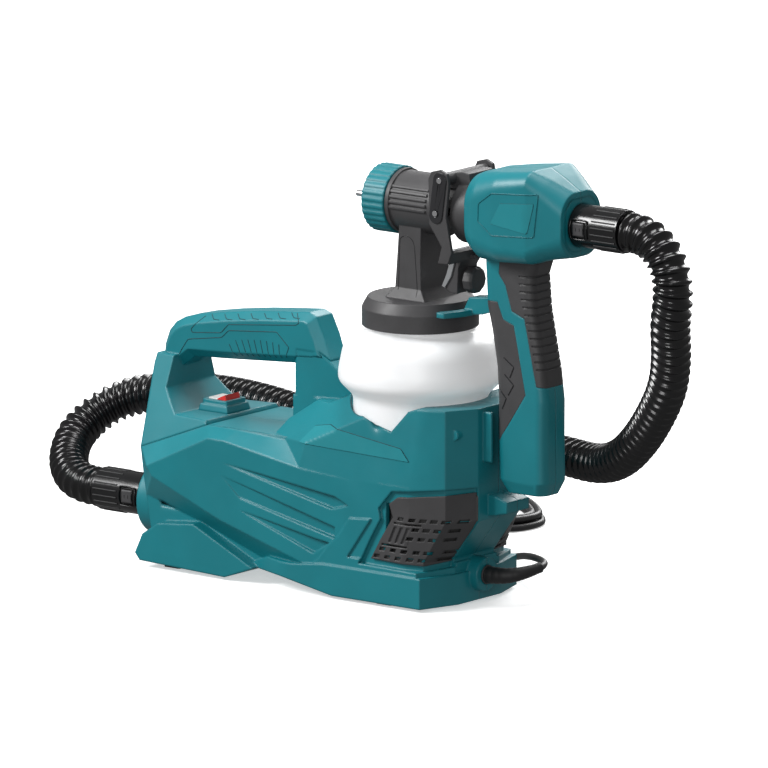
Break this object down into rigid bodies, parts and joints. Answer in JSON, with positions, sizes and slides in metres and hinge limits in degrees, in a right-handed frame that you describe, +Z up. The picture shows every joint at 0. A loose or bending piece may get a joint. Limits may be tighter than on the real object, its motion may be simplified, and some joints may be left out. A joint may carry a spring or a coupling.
{
  "type": "turbine paint sprayer",
  "caption": "Floor-standing turbine paint sprayer: faceted base with carry handle and cup cradle, corrugated air hose and a trigger cup gun parked in the cradle.",
  "frame": {"origin": "on the floor under the middle of the box round the object without hose and cord", "axes": "+Z up, +X along the base towards the gun handle and power cord end, +Y away from the side with the hose latch buttons"},
  "size_m": [0.7085, 0.4189, 0.377],
  "materials": {
    "teal_plastic": "satin",
    "dark_plastic": "matt, fine grain",
    "black_rubber": "matt",
    "hose_plastic": "semi-gloss",
    "cup_plastic": "translucent milky",
    "steel": "brushed",
    "chrome": "polished",
    "aluminium": "satin",
    "brass": "turned",
    "core_iron": "laminated",
    "filter_foam": "open-cell foam",
    "grey_plastic": "satin",
    "white_plastic": "gloss",
    "red_plastic": "gloss",
    "carbon": "matt"
  },
  "bodies": {
    "base": {"housing_near": "teal_plastic", "housing_far": "teal_plastic", "carry_handle": "teal_plastic", "feet": "black_rubber", "filter_cover_near": "dark_plastic", "filter_cover_far": "dark_plastic", "filter_foams": "filter_foam", "housing_screws": "steel", "switch_body": "teal_plastic", "turbine_housing": "aluminium", "outlet_duct": "dark_plastic", "motor_frame": "aluminium", "motor_bearings": "steel", "motor_stator": "core_iron", "carbon_brushes": "carbon", "hose": "hose_plastic", "hose_cuff_base": "hose_plastic", "cord_gland": "dark_plastic", "cord_relief": "black_rubber", "power_cord": "black_rubber", "cord_coil": "black_rubber", "plug_body": "black_rubber", "plug_pins": "chrome"},
    "rocker": {"rocker_white": "white_plastic", "rocker_red": "red_plastic", "rocker_pin": "steel"},
    "rotor": {"rotor_shaft": "steel", "armature": "core_iron", "impellers": "aluminium"},
    "base_latch": {"hose_button_base": "dark_plastic"},
    "gun": {"spray_head": "dark_plastic", "lid_gasket": "black_rubber", "pickup_tube": "cup_plastic", "fluid_nozzle": "aluminium", "packing_nut": "brass", "gun_shell_near": "teal_plastic", "gun_shell_far": "teal_plastic", "gun_screws": "steel", "grip_rear": "dark_plastic", "grip_front": "dark_plastic", "hose_cuff_gun": "hose_plastic", "needle_spring": "steel"},
    "gun_latch": {"hose_button_gun": "dark_plastic"},
    "air_cap": {"air_cap": "teal_plastic"},
    "cap_ring": {"air_cap_ring": "teal_plastic"},
    "needle": {"needle": "steel", "needle_cross_pin": "chrome"},
    "trigger": {"trigger_frame": "dark_plastic", "trigger_pad": "grey_plastic", "trigger_plates": "dark_plastic", "trigger_pivot_pin": "chrome"},
    "flow_knob": {"flow_knob": "dark_plastic", "flow_screw": "steel"},
    "cup": {"cup": "cup_plastic"}
  },
  "joints": [
    {"name": "gun_lift", "type": "slide", "parent": "base", "child": "gun", "axis": [0, 0, 1], "range_m": [0, 0.12]},
    {"name": "rocker_tilt", "type": "hinge", "parent": "base", "child": "rocker", "pos_m": [-0.153, 0, 0.1385], "axis": [0, 1, 0], "range_deg": [0, 14]},
    {"name": "rotor_spin", "type": "hinge", "parent": "base", "child": "rotor", "pos_m": [-0.07, 0, 0.064], "axis": [1, 0, 0], "continuous": true},
    {"name": "base_latch_press", "type": "slide", "parent": "base", "child": "base_latch", "axis": [0, 1, 0], "range_m": [0, 0.0015], "stiffness_N_per_m": 800},
    {"name": "gun_latch_press", "type": "slide", "parent": "gun", "child": "gun_latch", "axis": [0, 1, 0], "range_m": [0, 0.0015], "stiffness_N_per_m": 800},
    {"name": "air_cap_turn", "type": "hinge", "parent": "gun", "child": "air_cap", "pos_m": [0.02, 0, 0.332], "axis": [1, 0, 0], "range_deg": [-90, 90]},
    {"name": "cap_ring_spin", "type": "hinge", "parent": "gun", "child": "cap_ring", "pos_m": [0.026, 0, 0.332], "axis": [1, 0, 0], "continuous": true},
    {"name": "trigger_pull", "type": "hinge", "parent": "gun", "child": "trigger", "pos_m": [0.101, 0, 0.36], "axis": [0, -1, 0], "range_deg": [0, 8.5], "stiffness_Nm_per_rad": 6, "springref_deg": -2.29},
    {"name": "needle_draw", "type": "slide", "parent": "gun", "child": "needle", "axis": [1, 0, 0], "range_m": [0, 0.0044], "deforming": ["needle_spring"]},
    {"name": "flow_knob_turn", "type": "hinge", "parent": "trigger", "child": "flow_knob", "pos_m": [0.11, 0, 0.273], "axis": [1, 0, 0], "range_deg": [0, 720]},
    {"name": "cup_unscrew", "type": "hinge", "parent": "gun", "child": "cup", "pos_m": [0.0555, 0, 0.18], "axis": [0, 0, 1], "range_deg": [0, 360]}
  ],
  "couplings": [
    {"joint": "needle_draw", "follows": "trigger_pull", "m_per_rad": 0.028}
  ]
}
